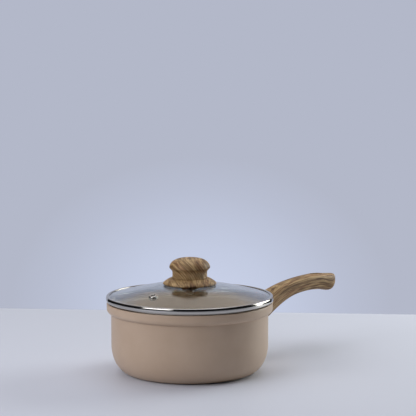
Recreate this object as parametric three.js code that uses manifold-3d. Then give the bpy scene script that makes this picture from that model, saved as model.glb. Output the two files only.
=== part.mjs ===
// A saucepan with a stepped rim, a wood-look handle and a domed glass lid.
// Millimetres, +Z up. The origin is the centre of the base, on the surface that the pan stands on.
// The handle runs out along +X. The lid sits on the pan and lifts off along +Z.
import * as THREE from "three";
import { mergeVertices } from "three/addons/utils/BufferGeometryUtils.js";
import Module from "manifold-3d";

const wasm = await Module();
wasm.setup();

// ---------------------------------------------------------------------------
// Driving dimensions
// ---------------------------------------------------------------------------
const GAP = 0.3; // room left between two pieces that touch
const LARGE_SIDES = 48; // flats round the pan, glass and rim
const KNOB_SIDES = 32; // flats round the knob
const SMALL_SIDES = 24; // flats round washers and screws

// Pan
const BODY_RADIUS = 87.3; // outside of the straight wall
const WALL = 2.5; // thickness of the coated aluminium
const FLOOR = 4; // thickness of the base
const BASE_RADIUS = 66.5; // where the base turns up into the corner
const CORNER_HEIGHT = 31; // height of the rounded corner
const STEP_HEIGHT = 66.3; // where the wall steps out into the rim band
const BAND_RADIUS = 92.2; // outside of the rim band
const BAND_START = 72; // where the band becomes upright
const RIM_HEIGHT = 78.6; // top of the pan
const RIM_ROUND = 1; // rounding of the rim's two edges
const DISC_RADIUS = 56;
const DISC_THICKNESS = 0.8;

// Handle, its bracket and its screw
const HANDLE_SECTION_POWER = 2.6; // 2 is an ellipse, more is squarer
const HANDLE_STEPS = 30;
const HANDLE_SIDES = 16;
const BRACKET_TILT = THREE.MathUtils.degToRad(26); // the tongue rises with the handle
const BRACKET_FOOT = { x: 88.8, z: 46.5 }; // where the tongue's axis meets the pad
const TONGUE = { length: 31, width: 14, height: 11 };
const PAD = { thickness: 2.35, halfAngle: 7, low: 36, high: 57 };
const SCREW_REACH = 20; // from the foot to the screw, along the tongue
const SCREW_SEAT = 9.2; // from the tongue's axis to the ledge that the washer bears on
const HANG_SLOT = { x: 205, length: 18, width: 8 };

// Lid
const DOME_TOP = 97.2; // top of the glass on the axis
const GLASS = 3.5; // thickness
const GLASS_RADIUS = 91; // ground edge of the glass
const RIM_EDGE_RADIUS = 89; // where the steel band's lip ends on the glass
const RIM_EDGE_HEIGHT = 85.1; // underside of that lip
const DOME_RADIUS = domeRadius(RIM_EDGE_RADIUS, DOME_TOP - RIM_EDGE_HEIGHT + GAP);
const STEEL_RADIUS = 93; // widest part of the steel band
const SEAL_INNER = 91.3;
const SEAL_OUTER = 92;
const KNOB_HOLE = 4.6; // radius of the hole in the middle of the glass
const VENT = { radius: 62, azimuth: -171.5, bore: 2.3, barrel: 3.3, flange: 5 };

// Knob stack, heights on the lid's axis
const SCREW_RADIUS = 2.4;
const STACK_HOLE = SCREW_RADIUS + 0.4;
const GASKET = { low: DOME_TOP + GAP, high: 98.5, radius: 13 };
const SKIRT_BOSS = GASKET.high + GAP;
const KNOB_SEAM = 105; // joint between the skirt and the grip
const KNOB_TOP = 127.1;
const INSERT = { radius: 4.4, low: 99.2, high: 116 };

// ---------------------------------------------------------------------------
// Helpers
// ---------------------------------------------------------------------------

// Radius of the sphere whose cap is `sagitta` high at `radius` from the axis.
function domeRadius(radius, sagitta) {
  return (radius * radius + sagitta * sagitta) / (2 * sagitta);
}

// Height of the glass at a distance from the axis; depth goes down into the glass.
function domeHeight(radius, depth = 0) {
  const sphere = DOME_RADIUS - depth;
  return DOME_TOP - depth - sphere + Math.sqrt(sphere * sphere - radius * radius);
}

// Quarter of an ellipse from the flat (r, z) up to the wall (r + across, z + up).
function cornerPoints(r, z, across, up, steps) {
  return Array.from({ length: steps + 1 }, (_, i) => {
    const turn = (i / steps) * (Math.PI / 2);
    return [r + across * Math.sin(turn), z + up * (1 - Math.cos(turn))];
  });
}

// Points of a curve that leaves `from`, is pulled towards `pull` and ends at `to`.
function bend(from, pull, to, steps) {
  const curve = new THREE.QuadraticBezierCurve(
    new THREE.Vector2(...from),
    new THREE.Vector2(...pull),
    new THREE.Vector2(...to),
  );
  return curve.getPoints(steps).map((p) => [p.x, p.y]);
}

// Points of the glass's surface between two radii.
function domePoints(fromRadius, toRadius, depth, steps) {
  return Array.from({ length: steps + 1 }, (_, i) => {
    const r = fromRadius + ((toRadius - fromRadius) * i) / steps;
    return [r, domeHeight(r, depth)];
  });
}

// Turns an outline of [radius, height] points, listed anticlockwise, about the Z axis.
// An outline that doesn't start on the axis is closed on itself.
function turned(outline, sides) {
  const points = outline.map(([r, z]) => new THREE.Vector2(r, z));
  if (outline[0][0] > 0) points.push(points[0].clone());
  return new THREE.LatheGeometry(points, sides).rotateX(Math.PI / 2);
}

// A flat ring between two radii and two heights.
function ring(inner, outer, low, high, sides) {
  return turned([[inner, low], [outer, low], [outer, high], [inner, high]], sides);
}

// An upright cylinder between two heights, centred on (x, 0).
function post(radius, low, high, sides, x = 0) {
  const cylinder = new THREE.CylinderGeometry(radius, radius, high - low, sides);
  return cylinder.rotateX(Math.PI / 2).translate(x, 0, (low + high) / 2);
}

// A manifold-3d solid from a closed three.js geometry.
function solid(geometry) {
  const bare = geometry.clone();
  bare.deleteAttribute("normal");
  bare.deleteAttribute("uv");
  const merged = mergeVertices(bare, 1e-4);
  const mesh = new wasm.Mesh({
    numProp: 3,
    vertProperties: merged.attributes.position.array,
    triVerts: new Uint32Array(merged.index.array),
  });
  return new wasm.Manifold(mesh);
}

// The three.js geometry of a manifold-3d solid.
function geometryOf(body) {
  const mesh = body.getMesh();
  const geometry = new THREE.BufferGeometry();
  geometry.setAttribute("position", new THREE.BufferAttribute(mesh.vertProperties, 3));
  geometry.setIndex(new THREE.BufferAttribute(mesh.triVerts, 1));
  geometry.computeVertexNormals();
  return geometry;
}

// The base geometry with each tool cut away.
function cut(base, ...tools) {
  return geometryOf(tools.reduce((body, tool) => body.subtract(solid(tool)), solid(base)));
}

// A piece of the wall's own curvature: an arc of metal between two radii and two heights.
function wallPlate(inner, outer, halfAngle, low, high) {
  const half = THREE.MathUtils.degToRad(halfAngle);
  const shape = new THREE.Shape();
  shape.absarc(0, 0, outer, -half, half, false);
  shape.absarc(0, 0, inner, half, -half, true);
  const plate = new THREE.ExtrudeGeometry(shape, {
    depth: high - low,
    bevelEnabled: false,
    curveSegments: 4,
  });
  return plate.translate(0, 0, low);
}

// A ring with one narrow cut, as a spring washer has.
function splitRing(inner, outer, low, high) {
  const halfCut = THREE.MathUtils.degToRad(7);
  const shape = new THREE.Shape();
  shape.absarc(0, 0, outer, halfCut, 2 * Math.PI - halfCut, false);
  shape.absarc(0, 0, inner, 2 * Math.PI - halfCut, halfCut, true);
  const washer = new THREE.ExtrudeGeometry(shape, {
    depth: high - low,
    bevelEnabled: false,
    curveSegments: 10,
  });
  return washer.translate(0, 0, low);
}

function piece(name, geometry, finish) {
  const material = new THREE.MeshStandardMaterial(finish);
  const mesh = new THREE.Mesh(geometry, material);
  mesh.name = name;
  return mesh;
}

// ---------------------------------------------------------------------------
// Finishes
// ---------------------------------------------------------------------------
const COATING = { color: 0xb89f8a, roughness: 0.5, metalness: 0 };
const STEEL = { color: 0xc9cbd0, roughness: 0.18, metalness: 1 };
const SPRING_STEEL = { color: 0x9a9ca0, roughness: 0.35, metalness: 1 };
const CAST_ALUMINIUM = { color: 0xb4b6b9, roughness: 0.5, metalness: 1 };
const BRASS = { color: 0xc5a45a, roughness: 0.3, metalness: 1 };
const WOOD_LOOK = { color: 0x8a6f4e, roughness: 0.45, metalness: 0 };
const CLEAR_SEAL = { color: 0xc4c6c6, roughness: 0.6, metalness: 0 };
const GREY_SEAL = { color: 0x6d6d6d, roughness: 0.7, metalness: 0 };
const CLEAR_GLASS = {
  color: 0xdfe8ea,
  roughness: 0.05,
  metalness: 0,
  transparent: true,
  opacity: 0.35,
};

// ---------------------------------------------------------------------------
// Pan
// ---------------------------------------------------------------------------

// Spun aluminium bowl: recessed base, rounded corner, straight wall, stepped-out rim band.
function panBody() {
  const recess = DISC_THICKNESS + GAP;
  const discPocket = DISC_RADIUS + GAP;
  const innerBody = BODY_RADIUS - WALL;
  const innerBand = BAND_RADIUS - WALL;
  const innerStep = STEP_HEIGHT + WALL;
  const innerBase = BASE_RADIUS - 1;
  const innerCorner = CORNER_HEIGHT - 2;
  const outside = [
    [0, recess],
    [discPocket, recess],
    [discPocket, 0],
    ...cornerPoints(BASE_RADIUS, 0, BODY_RADIUS - BASE_RADIUS, CORNER_HEIGHT, 7),
    ...bend([BODY_RADIUS, STEP_HEIGHT], [BAND_RADIUS, STEP_HEIGHT + 1], [BAND_RADIUS, BAND_START], 4),
    [BAND_RADIUS, RIM_HEIGHT - RIM_ROUND],
    [BAND_RADIUS - RIM_ROUND * 0.6, RIM_HEIGHT],
  ];
  const inside = [
    [innerBand + RIM_ROUND * 0.6, RIM_HEIGHT],
    [innerBand, RIM_HEIGHT - RIM_ROUND],
    ...bend([innerBand, BAND_START + WALL], [innerBand, innerStep + 1], [innerBody, innerStep], 4),
    ...cornerPoints(innerBase, FLOOR, innerBody - innerBase, innerCorner, 6).reverse(),
    [0, FLOOR],
  ];
  return turned([...outside, ...inside], LARGE_SIDES);
}

// Magnetic steel disc, let in flush with the base.
function inductionDisc() {
  return turned(
    [[0, 0], [DISC_RADIUS, 0], [DISC_RADIUS, DISC_THICKNESS], [0, DISC_THICKNESS]],
    LARGE_SIDES,
  );
}

// ---------------------------------------------------------------------------
// Handle
// ---------------------------------------------------------------------------

// Upright sections along the handle: distance from the pan's axis, top, underside, half the width.
const HANDLE_SECTIONS = [
  { x: 82, top: 58.8, bottom: 31.6, half: 14.8 },
  { x: 94, top: 64.2, bottom: 34.8, half: 14.2 },
  { x: 106, top: 70.4, bottom: 40.8, half: 13.2 },
  { x: 119, top: 75.4, bottom: 48.4, half: 12.2 },
  { x: 132, top: 79.9, bottom: 56, half: 11.4 },
  { x: 146, top: 83.4, bottom: 62.7, half: 10.8 },
  { x: 160, top: 85.8, bottom: 67.1, half: 10.5 },
  { x: 174, top: 87.5, bottom: 69.3, half: 10.5 },
  { x: 188, top: 88.6, bottom: 70.2, half: 10.7 },
  { x: 202, top: 88.8, bottom: 70.1, half: 11.1 },
  { x: 213, top: 88.5, bottom: 68.6, half: 11.3 },
  { x: 221, top: 88, bottom: 67, half: 11.1 },
  { x: 226, top: 87.5, bottom: 69, half: 10.2 },
  { x: 229.5, top: 86.7, bottom: 73.2, half: 8.4 },
  { x: 232, top: 85.4, bottom: 76.8, half: 5.8 },
  { x: 233.5, top: 83.4, bottom: 80, half: 2.8 },
];

// Rounded-square rings through the sections, joined side to side and closed at both ends.
function handleLoft() {
  const heights = HANDLE_SECTIONS.map((s) => new THREE.Vector3(s.x, s.top, s.bottom));
  const widths = HANDLE_SECTIONS.map((s) => new THREE.Vector3(s.x, s.half, 0));
  const heightCurve = new THREE.CatmullRomCurve3(heights, false, "catmullrom");
  const widthCurve = new THREE.CatmullRomCurve3(widths, false, "catmullrom");
  const positions = [];
  for (let i = 0; i <= HANDLE_STEPS; i++) {
    const { x, y: top, z: bottom } = heightCurve.getPoint(i / HANDLE_STEPS);
    const half = widthCurve.getPoint(i / HANDLE_STEPS).y;
    for (let j = 0; j < HANDLE_SIDES; j++) {
      const angle = (j / HANDLE_SIDES) * 2 * Math.PI;
      positions.push(x, half * squared(Math.cos(angle)));
      positions.push((top + bottom) / 2 + ((top - bottom) / 2) * squared(Math.sin(angle)));
    }
  }
  const indices = [];
  for (let i = 0; i < HANDLE_STEPS; i++) {
    for (let j = 0; j < HANDLE_SIDES; j++) {
      const a = i * HANDLE_SIDES + j;
      const b = i * HANDLE_SIDES + ((j + 1) % HANDLE_SIDES);
      indices.push(a, b, a + HANDLE_SIDES);
      indices.push(b, b + HANDLE_SIDES, a + HANDLE_SIDES);
    }
  }
  const last = HANDLE_STEPS * HANDLE_SIDES;
  for (let j = 1; j < HANDLE_SIDES - 1; j++) {
    indices.push(0, j + 1, j);
    indices.push(last, last + j, last + j + 1);
  }
  const geometry = new THREE.BufferGeometry();
  geometry.setAttribute("position", new THREE.Float32BufferAttribute(positions, 3));
  geometry.setIndex(indices);
  return geometry;
}

// A sine or cosine pushed outwards, so that the section is rounder than a box and squarer than an ellipse.
function squared(value) {
  return Math.sign(value) * Math.abs(value) ** (2 / HANDLE_SECTION_POWER);
}

// Stadium-shaped hole through the handle's end, for hanging the pan up.
function hangSlot() {
  const radius = HANG_SLOT.width / 2;
  const reach = HANG_SLOT.length / 2 - radius;
  const shape = new THREE.Shape();
  shape.absarc(reach, 0, radius, -Math.PI / 2, Math.PI / 2, false);
  shape.absarc(-reach, 0, radius, Math.PI / 2, (3 * Math.PI) / 2, false);
  const slot = new THREE.ExtrudeGeometry(shape, { depth: 60, bevelEnabled: false, curveSegments: 6 });
  return slot.translate(HANG_SLOT.x, 0, 50);
}

// Carries a geometry from the bracket's own frame (X along the tongue) into the pan's.
function onBracket(geometry) {
  return geometry.rotateY(-BRACKET_TILT).translate(BRACKET_FOOT.x, 0, BRACKET_FOOT.z);
}

function tongueBox(extra) {
  const box = new THREE.BoxGeometry(
    TONGUE.length + 2 * extra,
    TONGUE.width + 2 * extra,
    TONGUE.height + 2 * extra,
  );
  return box.translate(TONGUE.length / 2, 0, 0);
}

// Moulded handle: socket for the tongue, recess for the pad, stepped screw hole, hanging slot.
function handleGrip() {
  const wallClearance = post(BODY_RADIUS + 0.5, 0, 120, LARGE_SIDES);
  const padRecess = wallPlate(
    BODY_RADIUS - 2,
    BODY_RADIUS + PAD.thickness + 2 * GAP,
    PAD.halfAngle + 0.4,
    PAD.low - 0.5,
    PAD.high + 0.5,
  );
  const screwHole = post(SCREW_RADIUS, -SCREW_SEAT - 1, 0, SMALL_SIDES, SCREW_REACH);
  const headPocket = post(4.8, -40, -SCREW_SEAT, SMALL_SIDES, SCREW_REACH);
  return cut(
    handleLoft(),
    wallClearance,
    padRecess,
    onBracket(tongueBox(0.4)),
    onBracket(screwHole),
    onBracket(headPocket),
    hangSlot(),
  );
}

// Cast bracket welded to the wall: a curved pad with a square tongue that the handle slides over.
function handleBracket() {
  const inner = BODY_RADIUS + GAP;
  const pad = wallPlate(inner - 1, BODY_RADIUS + PAD.thickness, PAD.halfAngle, PAD.low, PAD.high);
  const tongue = onBracket(tongueBox(0));
  const joined = geometryOf(solid(pad).add(solid(tongue)));
  const tapping = post(2.3, -20, 20, SMALL_SIDES, SCREW_REACH);
  return cut(joined, post(inner, 0, 120, LARGE_SIDES), onBracket(tapping));
}

// Pan-head screw, pushed up through the handle into the tongue. Its head is lowest.
function handleScrew() {
  const head = -SCREW_SEAT - 1.1 - GAP;
  return turned(
    [
      [0, head - 2.6],
      [2.2, head - 2.5],
      [3.5, head - 1.2],
      [3.6, head],
      [2, head],
      [2, 4.4],
      [1.4, 5],
      [0, 5],
    ],
    SMALL_SIDES,
  );
}

// ---------------------------------------------------------------------------
// Lid
// ---------------------------------------------------------------------------

// The vent's own frame: Z stands square to the glass, with its zero on the upper surface.
const ventFrame = new THREE.Group();
ventFrame.name = "vent";
{
  const azimuth = THREE.MathUtils.degToRad(VENT.azimuth);
  const tilt = Math.asin(VENT.radius / DOME_RADIUS);
  ventFrame.position.set(
    VENT.radius * Math.cos(azimuth),
    VENT.radius * Math.sin(azimuth),
    domeHeight(VENT.radius),
  );
  ventFrame.rotation.set(0, tilt, azimuth, "ZYX");
  ventFrame.updateMatrix();
}

// Domed toughened glass with a ground edge, a centre hole and a vent hole.
function lidGlass() {
  const groundIn = GLASS_RADIUS - 0.9;
  const outline = [
    ...domePoints(KNOB_HOLE, groundIn, GLASS, 6),
    [GLASS_RADIUS, domeHeight(GLASS_RADIUS, GLASS) + 0.9],
    [GLASS_RADIUS, domeHeight(GLASS_RADIUS) - 0.8],
    ...domePoints(groundIn, KNOB_HOLE, 0, 6),
  ];
  const ventHole = post(VENT.barrel + 0.4, -12, 12, SMALL_SIDES).applyMatrix4(ventFrame.matrix);
  return cut(turned(outline, LARGE_SIDES), ventHole);
}

// Stainless band: a rounded bead that grips the glass's edge, a shelf under it and a skirt below.
function lidRim() {
  const shelf = RIM_HEIGHT + GAP + 0.05;
  const skirtOuter = 88.9;
  const skirtInner = 88.3;
  const skirtEnd = 73.6;
  const outline = [
    [skirtInner, skirtEnd + 0.3],
    [skirtOuter - 0.2, skirtEnd],
    [skirtOuter, skirtEnd + 0.5],
    [skirtOuter, shelf],
    ...bend([STEEL_RADIUS - 1.2, shelf], [STEEL_RADIUS, shelf + 0.3], [STEEL_RADIUS, 81.9], 3),
    ...bend([STEEL_RADIUS - 0.1, 83], [STEEL_RADIUS - 0.8, 85.6], [RIM_EDGE_RADIUS, 85.6], 4),
    [RIM_EDGE_RADIUS, RIM_EDGE_HEIGHT],
    [90.3, 85],
    [91.5, 84.4],
    [92.3, 82.9],
    [92.35, 80.6],
    [91.7, 79.45],
    [skirtInner, 79.45],
  ];
  return turned(outline, LARGE_SIDES);
}

// Silicone bead between the glass's edge and the steel band.
function rimSeal() {
  return turned(
    [
      [90.2, 79.75],
      [91.5, 79.75],
      [SEAL_OUTER, 80.7],
      [SEAL_OUTER, 82.6],
      [SEAL_INNER + 0.2, 83.6],
      [SEAL_INNER, 83.4],
      [SEAL_INNER, 80.6],
      [90.2, 80.25],
    ],
    LARGE_SIDES,
  );
}

// Steel eyelet: a rounded flange on the glass, a barrel through it and a lip rolled out below.
function ventEyelet() {
  const { bore, barrel, flange } = VENT;
  return turned(
    [
      [bore, -5.2],
      [barrel - 0.2, -5.9],
      [barrel + 1, -5.8],
      [barrel + 1.1, -5.3],
      [barrel, -4.9],
      [barrel, GAP],
      [flange - 0.2, GAP],
      [flange, 0.7],
      [flange - 0.6, 1.3],
      [barrel, 1.6],
      [bore + 0.3, 1.4],
      [bore, 0.8],
    ],
    SMALL_SIDES,
  );
}

// Flat ring that the eyelet's lip is rolled against, under the glass.
function ventRing() {
  return ring(VENT.barrel + GAP, VENT.flange + 0.5, -4.5, -GLASS - GAP, SMALL_SIDES);
}

// Upper half of the knob: narrow neck and mushroom cap, hollow for its threaded insert.
function knobGrip() {
  const socket = INSERT.radius + 0.4;
  return turned(
    [
      [0, INSERT.high + GAP],
      [socket, INSERT.high + GAP],
      [socket, KNOB_SEAM + GAP],
      [19.9, KNOB_SEAM + GAP],
      [19.65, 107],
      [19.8, 110.8],
      [20.4, 112.2],
      [21.6, 113.4],
      [22.5, 114.8],
      [22.8, 116.4],
      [22.5, 118],
      [21.7, 119.9],
      [20, 122.3],
      [17.6, 124.2],
      [14.6, 125.6],
      [10, 126.6],
      [0, KNOB_TOP],
    ],
    KNOB_SIDES,
  );
}

// Lower half of the knob: a flared skirt over the glass, hollow round a central boss.
function knobSkirt() {
  const hole = INSERT.radius + 0.4;
  return turned(
    [
      [hole, SKIRT_BOSS],
      [14, SKIRT_BOSS],
      [15.2, 101.8],
      [21.5, 101.8],
      [24.6, 100.3],
      [26.9, 98.2],
      [27.3, 96.9],
      [28.9, 96.8],
      [29.9, 97.2],
      [30.3, 98.2],
      [29.7, 99.6],
      [27.4, 101.4],
      [24.3, 103.5],
      [21.5, 104.6],
      [20, KNOB_SEAM],
      [hole, KNOB_SEAM],
    ],
    KNOB_SIDES,
  );
}

// Hexagonal brass insert moulded into the grip; the screw runs up inside it.
function knobInsert() {
  return ring(STACK_HOLE, INSERT.radius, INSERT.low, INSERT.high, 6);
}

// Silicone washer under the glass with a collar up through the hole, so that no metal meets the glass.
function glassGrommet() {
  return turned(
    [
      [STACK_HOLE, 92.2],
      [9, 92.2],
      [9, 93.3],
      [KNOB_HOLE - 0.4, 93.3],
      [KNOB_HOLE - 0.4, DOME_TOP],
      [STACK_HOLE, DOME_TOP],
    ],
    SMALL_SIDES,
  );
}

// Pan-head screw from below, up into the insert.
function knobScrew() {
  const head = 89.2;
  return turned(
    [
      [0, head - 3],
      [2.8, head - 2.8],
      [4.6, head - 1.3],
      [4.8, head],
      [SCREW_RADIUS, head],
      [SCREW_RADIUS, 113.4],
      [1.6, 114.2],
      [0, 114.2],
    ],
    SMALL_SIDES,
  );
}

// ---------------------------------------------------------------------------
// Assembly
// ---------------------------------------------------------------------------
const bracketFrame = new THREE.Group();
bracketFrame.name = "bracket_screw";
bracketFrame.rotation.y = -BRACKET_TILT;
bracketFrame.position.set(
  BRACKET_FOOT.x + SCREW_REACH * Math.cos(BRACKET_TILT),
  0,
  BRACKET_FOOT.z + SCREW_REACH * Math.sin(BRACKET_TILT),
);
bracketFrame.add(
  piece("handle_screw", handleScrew(), STEEL),
  piece("handle_washer", splitRing(2.3, 3.9, -SCREW_SEAT - 1.1, -SCREW_SEAT - GAP), SPRING_STEEL),
);

const pan = new THREE.Group();
pan.name = "pan";
pan.add(
  piece("pan_body", panBody(), COATING),
  piece("induction_disc", inductionDisc(), STEEL),
  piece("handle_bracket", handleBracket(), CAST_ALUMINIUM),
  piece("handle_grip", handleGrip(), WOOD_LOOK),
  bracketFrame,
);

ventFrame.add(
  piece("vent_eyelet", ventEyelet(), STEEL),
  piece("vent_ring", ventRing(), STEEL),
);

const lid = new THREE.Group();
lid.name = "lid";
lid.add(
  piece("lid_glass", lidGlass(), CLEAR_GLASS),
  piece("lid_rim", lidRim(), STEEL),
  piece("rim_seal", rimSeal(), CLEAR_SEAL),
  ventFrame,
  piece("knob_grip", knobGrip(), WOOD_LOOK),
  piece("knob_skirt", knobSkirt(), WOOD_LOOK),
  piece("knob_insert", knobInsert(), BRASS),
  piece("knob_gasket", ring(STACK_HOLE, GASKET.radius, GASKET.low, GASKET.high, SMALL_SIDES), GREY_SEAL),
  piece("glass_grommet", glassGrommet(), GREY_SEAL),
  piece("clamp_washer", ring(STACK_HOLE, 8.5, 90.9, 91.9, SMALL_SIDES), STEEL),
  piece("lock_washer", splitRing(STACK_HOLE, 4.6, 89.5, 90.6), SPRING_STEEL),
  piece("knob_screw", knobScrew(), STEEL),
);

const saucepan = new THREE.Group();
saucepan.name = "saucepan";
saucepan.add(pan, lid);

export default saucepan;
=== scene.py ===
# %% [markdown]
# # A saucepan with a domed glass lid
#
# The pan is a spun aluminium bowl with a beige ceramic coating, a moulded handle with a wood-look film,
# and a glass lid held in a steel band. The sizes and places all come from the loaded frame, which is the
# engineering model, so each cell below only makes a finer surface where a plain one already stands.

# %% Load the frame
import math

import bmesh
import bpy
from mathutils import Matrix, Vector


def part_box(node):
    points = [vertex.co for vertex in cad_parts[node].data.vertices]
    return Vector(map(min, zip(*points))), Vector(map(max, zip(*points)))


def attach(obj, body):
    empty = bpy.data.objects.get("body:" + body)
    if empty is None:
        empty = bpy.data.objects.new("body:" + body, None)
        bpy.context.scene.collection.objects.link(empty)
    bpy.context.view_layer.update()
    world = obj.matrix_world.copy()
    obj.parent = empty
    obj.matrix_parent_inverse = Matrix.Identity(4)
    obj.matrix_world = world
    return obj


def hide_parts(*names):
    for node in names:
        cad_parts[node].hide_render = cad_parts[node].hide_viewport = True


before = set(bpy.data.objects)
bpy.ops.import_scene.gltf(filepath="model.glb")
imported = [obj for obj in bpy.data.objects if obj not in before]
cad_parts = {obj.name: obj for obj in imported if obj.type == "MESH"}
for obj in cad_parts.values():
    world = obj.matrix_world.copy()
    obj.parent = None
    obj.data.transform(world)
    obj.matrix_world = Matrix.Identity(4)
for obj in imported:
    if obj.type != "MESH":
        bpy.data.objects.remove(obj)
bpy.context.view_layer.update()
MM = 0.001
print("pieces in the frame:", len(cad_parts))

# %% [markdown]
# ## Camera
#
# The camera comes first, because the light is arranged for it. It stands low, eleven degrees above the
# table, with a long lens, so the ellipses of the pan stay nearly flat. A wider lens from nearer by would
# make the front of the rim bulge. `spot` gives places as the camera sees them: how far right of the pan,
# how far behind it and how high.

# %% Camera
CAMERA_PLACE = (-1.0509, -1.1671, 0.3458)
CAMERA_PITCH = math.radians(84.06)
CAMERA_TURN = math.radians(-42.74)
LENS = 123.75
SENSOR = 36

camera = bpy.data.objects.new("camera", bpy.data.cameras.new("camera"))
bpy.context.collection.objects.link(camera)
camera.location = CAMERA_PLACE
camera.rotation_euler = (CAMERA_PITCH, 0, CAMERA_TURN)
camera.data.lens = LENS
camera.data.sensor_width = SENSOR
bpy.context.scene.camera = camera
bpy.context.scene.view_settings.view_transform = "Standard"

FORWARD = Vector((-CAMERA_PLACE[0], -CAMERA_PLACE[1], 0)).normalized()
RIGHT = Vector((FORWARD.y, -FORWARD.x, 0))


def spot(right, forward, up):
    """A place given in metres as the camera sees it, measured from the middle of the pan's base."""
    return RIGHT * right + FORWARD * forward + Vector((0, 0, up))


print("camera is", round(camera.location.length, 2), "m from the pan")

# %% [markdown]
# ## Helpers for outlines
#
# Nearly every piece of a pan is round, so it is described by an outline of (radius, height) points in
# millimetres. It could be drawn as a Bezier curve and given a Screw modifier, but points from small
# functions can be worked out from the frame's sizes. Straight stretches are cut into steps as well, so
# that the smooth shading of a bend doesn't leak far along the flat beside it.


# %% Outline helpers
def straight(start, end, steps):
    """Evenly spaced points from start to end."""
    (r0, z0), (r1, z1) = start, end
    return [(r0 + (r1 - r0) * i / steps, z0 + (z1 - z0) * i / steps) for i in range(steps + 1)]


def bend(start, pull, end, steps):
    """A curve that leaves start, is pulled towards pull and ends at end."""
    points = []
    for i in range(steps + 1):
        t = i / steps
        weights = ((1 - t) ** 2, 2 * t * (1 - t), t * t)
        points.append(tuple(sum(w * p[k] for w, p in zip(weights, (start, pull, end))) for k in (0, 1)))
    return points


def corner(r, z, across, up, steps):
    """Quarter of an ellipse from the flat at (r, z) up to the wall at (r + across, z + up)."""
    turns = [math.pi / 2 * i / steps for i in range(steps + 1)]
    return [(r + across * math.sin(t), z + up * (1 - math.cos(t))) for t in turns]


# %% [markdown]
# ## Helpers for making a piece
#
# An operator works on everything that is selected, so the selection is emptied first. `turned` works as
# a lathe does: one vertex is extruded from point to point along the outline, and the line is then spun
# once round the Z axis. `weld` merges the doubled points, which closes the seam and the poles, and only
# then turns the normals outwards.


# %% Piece helpers
def deselect():
    if bpy.context.object and bpy.context.object.mode != "OBJECT":
        bpy.ops.object.mode_set(mode="OBJECT")
    bpy.ops.object.select_all(action="DESELECT")


def activate(piece):
    deselect()
    piece.select_set(True)
    bpy.context.view_layer.objects.active = piece


WELD_DISTANCE = 0.001 * MM


def weld():
    """Merges doubled points and turns every face outwards. The piece is in edit mode."""
    bpy.ops.mesh.select_all(action="SELECT")
    bpy.ops.mesh.remove_doubles(threshold=WELD_DISTANCE)
    bpy.ops.mesh.normals_make_consistent(inside=False)


def turned(outline, steps):
    """Spins an outline of (radius, height) points in millimetres once round the Z axis."""
    deselect()
    first_r, first_z = outline[0]
    bpy.ops.mesh.primitive_plane_add(size=MM, location=(first_r * MM, 0, first_z * MM))
    piece = bpy.context.object
    bpy.ops.object.transform_apply(location=True, rotation=True, scale=True)
    bpy.ops.object.mode_set(mode="EDIT")
    bpy.ops.mesh.select_mode(type="VERT")
    bpy.ops.mesh.merge(type="CENTER")
    route = list(outline)
    if first_r > 0:
        route.append(outline[0])
    for (r0, z0), (r1, z1) in zip(route, route[1:]):
        step = ((r1 - r0) * MM, 0, (z1 - z0) * MM)
        bpy.ops.mesh.extrude_vertices_move(TRANSFORM_OT_translate={"value": step})
    bpy.ops.mesh.select_all(action="SELECT")
    bpy.ops.mesh.remove_doubles(threshold=WELD_DISTANCE)
    bpy.ops.mesh.spin(steps=steps, angle=2 * math.pi, center=(0, 0, 0), axis=(0, 0, 1))
    weld()
    bpy.ops.object.mode_set(mode="OBJECT")
    return piece


def hand_over(piece, name, node, body, material, smooth=32):
    """Names a finished piece, gives it its finish and lets it ride on its body in place of a plain one."""
    activate(piece)
    bpy.ops.object.shade_smooth_by_angle(angle=math.radians(smooth))
    piece.name = name
    piece.data.name = name
    piece.data.materials.clear()
    piece.data.materials.append(material)
    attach(piece, body)
    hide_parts(node)
    low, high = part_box(node)
    corners = [Vector(c) for c in piece.bound_box]
    size = [max(c[k] for c in corners) - min(c[k] for c in corners) for k in range(3)]
    drift = max(abs(size[k] - (high - low)[k]) for k in range(3)) / MM
    print(f"{name}: {len(piece.data.polygons)} faces, {drift:.2f} mm off the plain size")
    return piece


# %% [markdown]
# ## Helpers for finishes
#
# Colours are written as sRGB hex, as a paint chart gives them, and Blender's shaders need them linear.
# `add` puts one node in a material, sets its values and links its inputs, so that each finish below reads
# as a short list of what is layered on what.


# %% Finish helpers
def colour(text):
    """Linear RGBA from an sRGB hex value."""
    parts = [int(text[i : i + 2], 16) / 255 for i in (1, 3, 5)]
    return (*[c / 12.92 if c <= 0.04045 else ((c + 0.055) / 1.055) ** 2.4 for c in parts], 1)


def add(tree, kind, inputs=None, stops=None, **settings):
    """Adds a node, sets its options, and gives each named input a value or a link.

    A colour ramp starts with an element at each end. They are removed, so a stop never lies on 0 or 1.
    """
    made = tree.nodes.new(kind)
    for name, value in settings.items():
        setattr(made, name, value)
    for place_at, tone in stops or []:
        made.color_ramp.elements.new(place_at).color = colour(tone)
    if stops:
        made.color_ramp.elements.remove(made.color_ramp.elements[0])
        made.color_ramp.elements.remove(made.color_ramp.elements[-1])
    for name, value in (inputs or {}).items():
        if isinstance(value, bpy.types.NodeSocket):
            tree.links.new(value, made.inputs[name])
        else:
            made.inputs[name].default_value = value
    return made


def new_finish(name, **values):
    """An empty finish: its node tree and its Principled shader with plain values set on the sockets."""
    material = bpy.data.materials.new(name)
    material.use_nodes = True
    tree = material.node_tree
    shader = tree.nodes["Principled BSDF"]
    for socket, value in values.items():
        shader.inputs[socket.replace("_", " ")].default_value = value
    print("finish:", name)
    return material, tree, shader


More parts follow.
